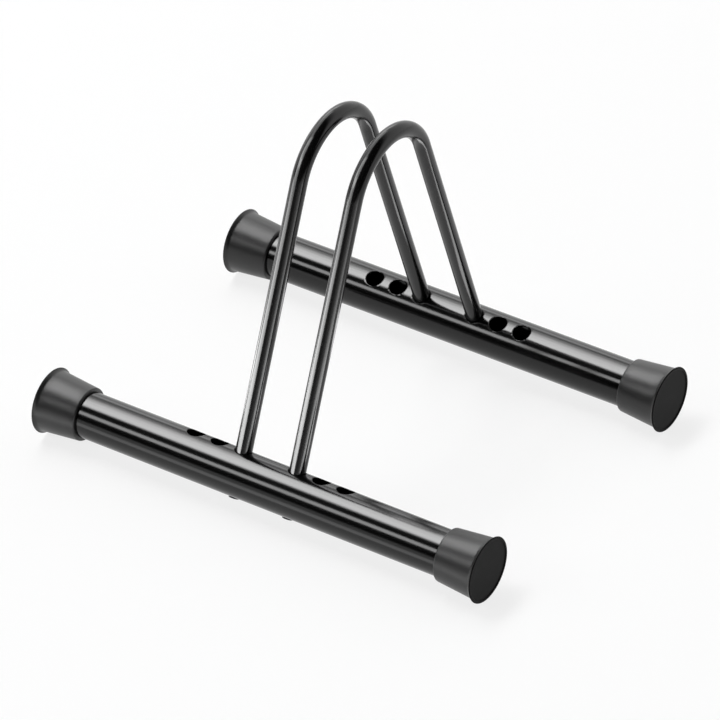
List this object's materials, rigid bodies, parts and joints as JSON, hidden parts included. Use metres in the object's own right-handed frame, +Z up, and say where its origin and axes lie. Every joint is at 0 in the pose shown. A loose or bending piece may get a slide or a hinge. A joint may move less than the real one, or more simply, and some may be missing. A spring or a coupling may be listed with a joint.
{
  "type": "floor bike rack",
  "caption": "Floor rack for a bicycle wheel: two bent hoops stand across two base tubes and hold the tyre between them, with spare holes for wider tyres.",
  "frame": {"origin": "on the floor, in the middle of the rack's footprint", "axes": "+X along the base tubes, +Y from the front tube to the rear tube, the way the wheel points, +Z up"},
  "size_m": [0.406, 0.3204, 0.2893],
  "materials": {
    "gloss_black_enamel": "gloss",
    "cap_rubber": "satin moulded",
    "blackened_steel": "black oxide",
    "zinc_plated_steel": "zinc plated, turned"
  },
  "bodies": {
    "root": {"front_base_tube": "gloss_black_enamel", "rear_base_tube": "gloss_black_enamel", "left_hoop": "gloss_black_enamel", "right_hoop": "gloss_black_enamel", "foot_cap_front_left": "cap_rubber", "foot_cap_front_right": "cap_rubber", "foot_cap_rear_left": "cap_rubber", "foot_cap_rear_right": "cap_rubber", "leg_insert_front_left": "zinc_plated_steel", "leg_insert_front_right": "zinc_plated_steel", "leg_insert_rear_left": "zinc_plated_steel", "leg_insert_rear_right": "zinc_plated_steel", "leg_screw_front_left": "blackened_steel", "leg_screw_front_right": "blackened_steel", "leg_screw_rear_left": "blackened_steel", "leg_screw_rear_right": "blackened_steel", "saddle_washer_front_left": "blackened_steel", "saddle_washer_front_right": "blackened_steel", "saddle_washer_rear_left": "blackened_steel", "saddle_washer_rear_right": "blackened_steel"}
  },
  "joints": []
}
